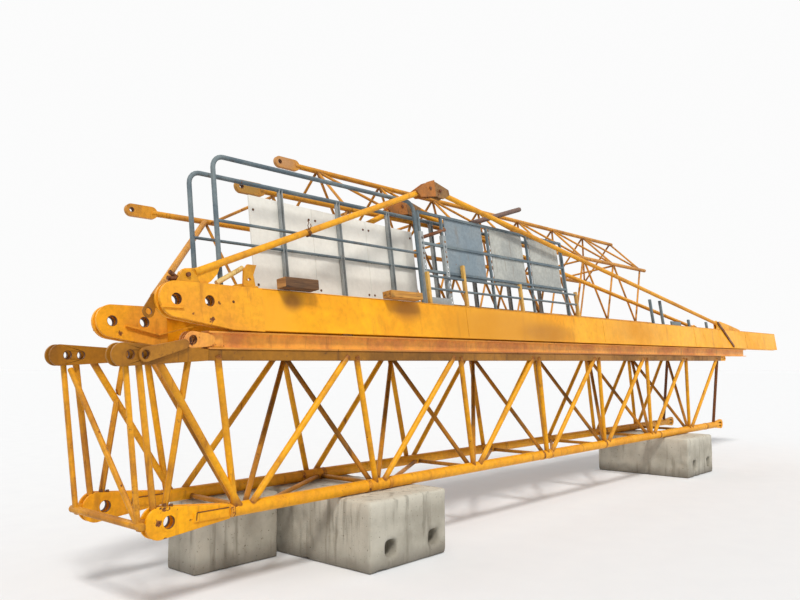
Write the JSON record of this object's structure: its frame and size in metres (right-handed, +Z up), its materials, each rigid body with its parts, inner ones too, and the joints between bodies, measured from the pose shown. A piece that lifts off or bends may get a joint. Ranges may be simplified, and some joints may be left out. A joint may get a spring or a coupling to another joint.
{
  "type": "dismantled tower crane stack",
  "caption": "Tower crane sections stacked for storage: a tubular lattice section on concrete blocks, a plate-girder counter-jib with railings and tie bars, and a light section.",
  "frame": {"origin": "on the ground under the middle of the stack's bounding box", "axes": "+X along the crane from its pinned root end to its tip end, +Y from the near side to the far side, +Z up"},
  "size_m": [15.8359, 2.0992, 4.1279],
  "materials": {
    "crane_paint": "weathered orange-yellow paint with rust streaks",
    "aged_paint": "older ochre-yellow paint, chipped and stained",
    "faded_paint": "faded orange paint with rusted edges",
    "rail_paint": "blue-grey paint, worn",
    "panel_sheet": "off-white coated sheet, slightly rippled",
    "sign_plate": "plain grey sheet",
    "rusty_steel": "rusted steel",
    "timber": "weathered softwood",
    "concrete": "rough cast concrete"
  },
  "bodies": {
    "root": {"near_lower_chord": "crane_paint", "far_lower_chord": "crane_paint", "near_upper_chord": "crane_paint", "far_upper_chord": "crane_paint", "near_lower_ear": "crane_paint", "far_lower_ear": "crane_paint", "near_upper_ear": "crane_paint", "far_upper_ear": "crane_paint", "tip_end_ears": "crane_paint", "near_side_lattice": "crane_paint", "far_side_lattice": "crane_paint", "inclined_lattice": "aged_paint", "bottom_lattice": "aged_paint", "top_lattice": "aged_paint", "root_end_frame": "aged_paint", "tip_end_frame": "aged_paint", "carrier_beam": "faded_paint", "packer_plates": "rusty_steel", "near_girder": "crane_paint", "far_girder": "crane_paint", "near_girder_ear": "crane_paint", "far_girder_ear": "crane_paint", "girder_cross_beams": "aged_paint", "deck_plates": "aged_paint", "near_railing": "rail_paint", "inner_railing": "rail_paint", "white_panels": "panel_sheet", "sign_frame": "rail_paint", "sign_plates": "sign_plate", "near_short_tie": "crane_paint", "near_long_tie": "crane_paint", "inner_short_tie": "crane_paint", "inner_long_tie": "crane_paint", "tie_apex_links": "rusty_steel", "tie_brackets": "rusty_steel", "light_near_chord": "aged_paint", "light_far_chord": "aged_paint", "light_ridge_chord": "aged_paint", "light_bottom_chords": "aged_paint", "light_ridge_lattice": "aged_paint", "light_side_lattice": "aged_paint", "light_cross_bars": "aged_paint", "timber_packers": "timber", "concrete_blocks": "concrete", "front_brace": "aged_paint"}
  },
  "joints": []
}
